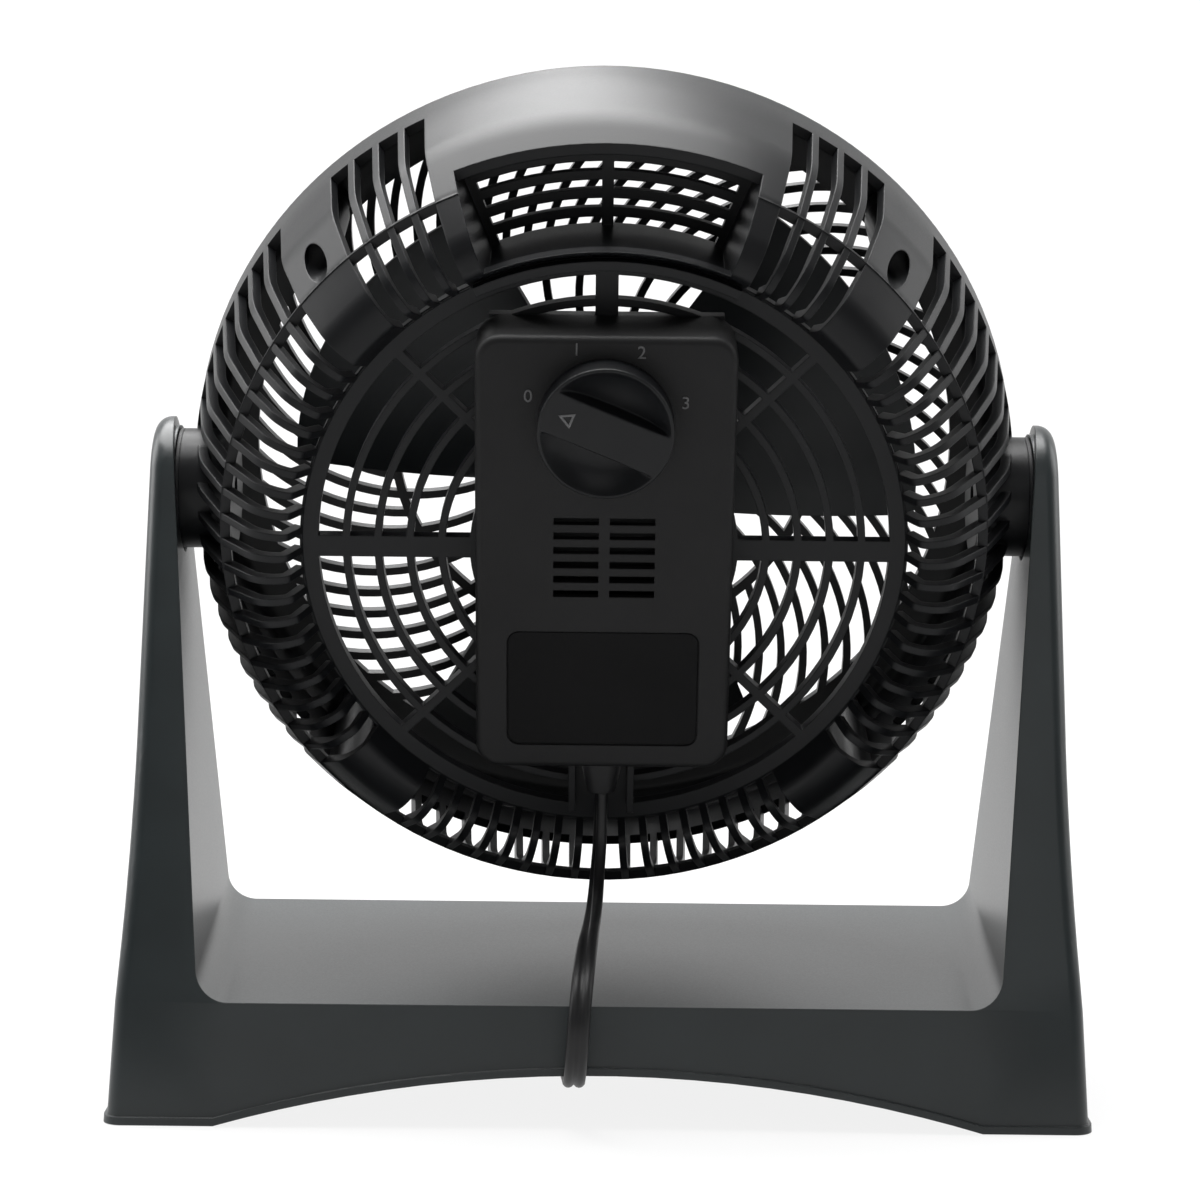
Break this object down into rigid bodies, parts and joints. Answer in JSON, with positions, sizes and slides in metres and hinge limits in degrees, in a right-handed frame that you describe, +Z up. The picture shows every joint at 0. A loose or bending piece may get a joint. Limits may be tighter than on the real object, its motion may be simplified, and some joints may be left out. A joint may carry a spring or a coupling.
{
  "type": "high velocity fan",
  "caption": "Tilting table fan: a round slotted drum with a carry handle, rear control box and speed knob, on a U-shaped stand with a mains cord.",
  "frame": {"origin": "on the floor under the middle of the fan's box, cord left out", "axes": "+Z up, +Y the way the air leaves the fan, +X to the right seen from behind"},
  "size_m": [0.306, 0.1895, 0.3296],
  "materials": {
    "stand_plastic": "satin dark slate moulding",
    "housing_plastic": "satin black moulding",
    "box_plastic": "fine textured black moulding",
    "knob_plastic": "satin black moulding",
    "blade_plastic": "satin black moulding",
    "switch_plastic": "moulded",
    "washer": "moulded",
    "tie": "flat strap",
    "plug": "moulded vinyl",
    "cord": "vinyl jacket",
    "rubber": "matt",
    "steel": "zinc plated",
    "aluminium": "die cast",
    "laminations": "varnished steel stack",
    "copper": "varnished winding",
    "brass": "plain"
  },
  "bodies": {
    "stand": {"stand": "stand_plastic", "rubber_feet": "rubber", "pivot_caps": "stand_plastic", "cord_stretch": "cord", "cord_coil": "cord", "cord_tie": "tie", "plug_body": "plug", "plug_blades": "brass"},
    "head": {"rear_housing": "housing_plastic", "front_grille": "housing_plastic", "grille_screws": "steel", "control_box": "box_plastic", "box_screws": "steel", "rotary_switch": "switch_plastic", "switch_nut": "steel", "strain_relief": "cord", "pivot_bolts": "steel", "pivot_washers": "washer", "motor_rear_bell": "aluminium", "motor_front_bell": "aluminium", "stator_core": "laminations", "motor_windings": "copper", "motor_bushings": "brass", "motor_bolts": "steel"},
    "fan": {"fan_blade": "blade_plastic", "blade_nut": "blade_plastic", "motor_shaft": "steel", "rotor": "laminations"},
    "knob": {"speed_knob": "knob_plastic", "switch_shaft": "switch_plastic"}
  },
  "joints": [
    {"name": "head_tilt", "type": "hinge", "parent": "stand", "child": "head", "pos_m": [0, 0.00579, 0.1914], "axis": [1, 0, 0], "range_deg": [-47.35, 72.65], "deforming": ["cord_stretch"]},
    {"name": "blade_spin", "type": "hinge", "parent": "head", "child": "fan", "pos_m": [0, 0.00579, 0.1914], "axis": [0, 0.9545, 0.2982], "continuous": true},
    {"name": "knob_turn", "type": "hinge", "parent": "head", "child": "knob", "pos_m": [0, -0.07655, 0.21754], "axis": [0, 0.9545, 0.2982], "range_deg": [0, 144]}
  ]
}
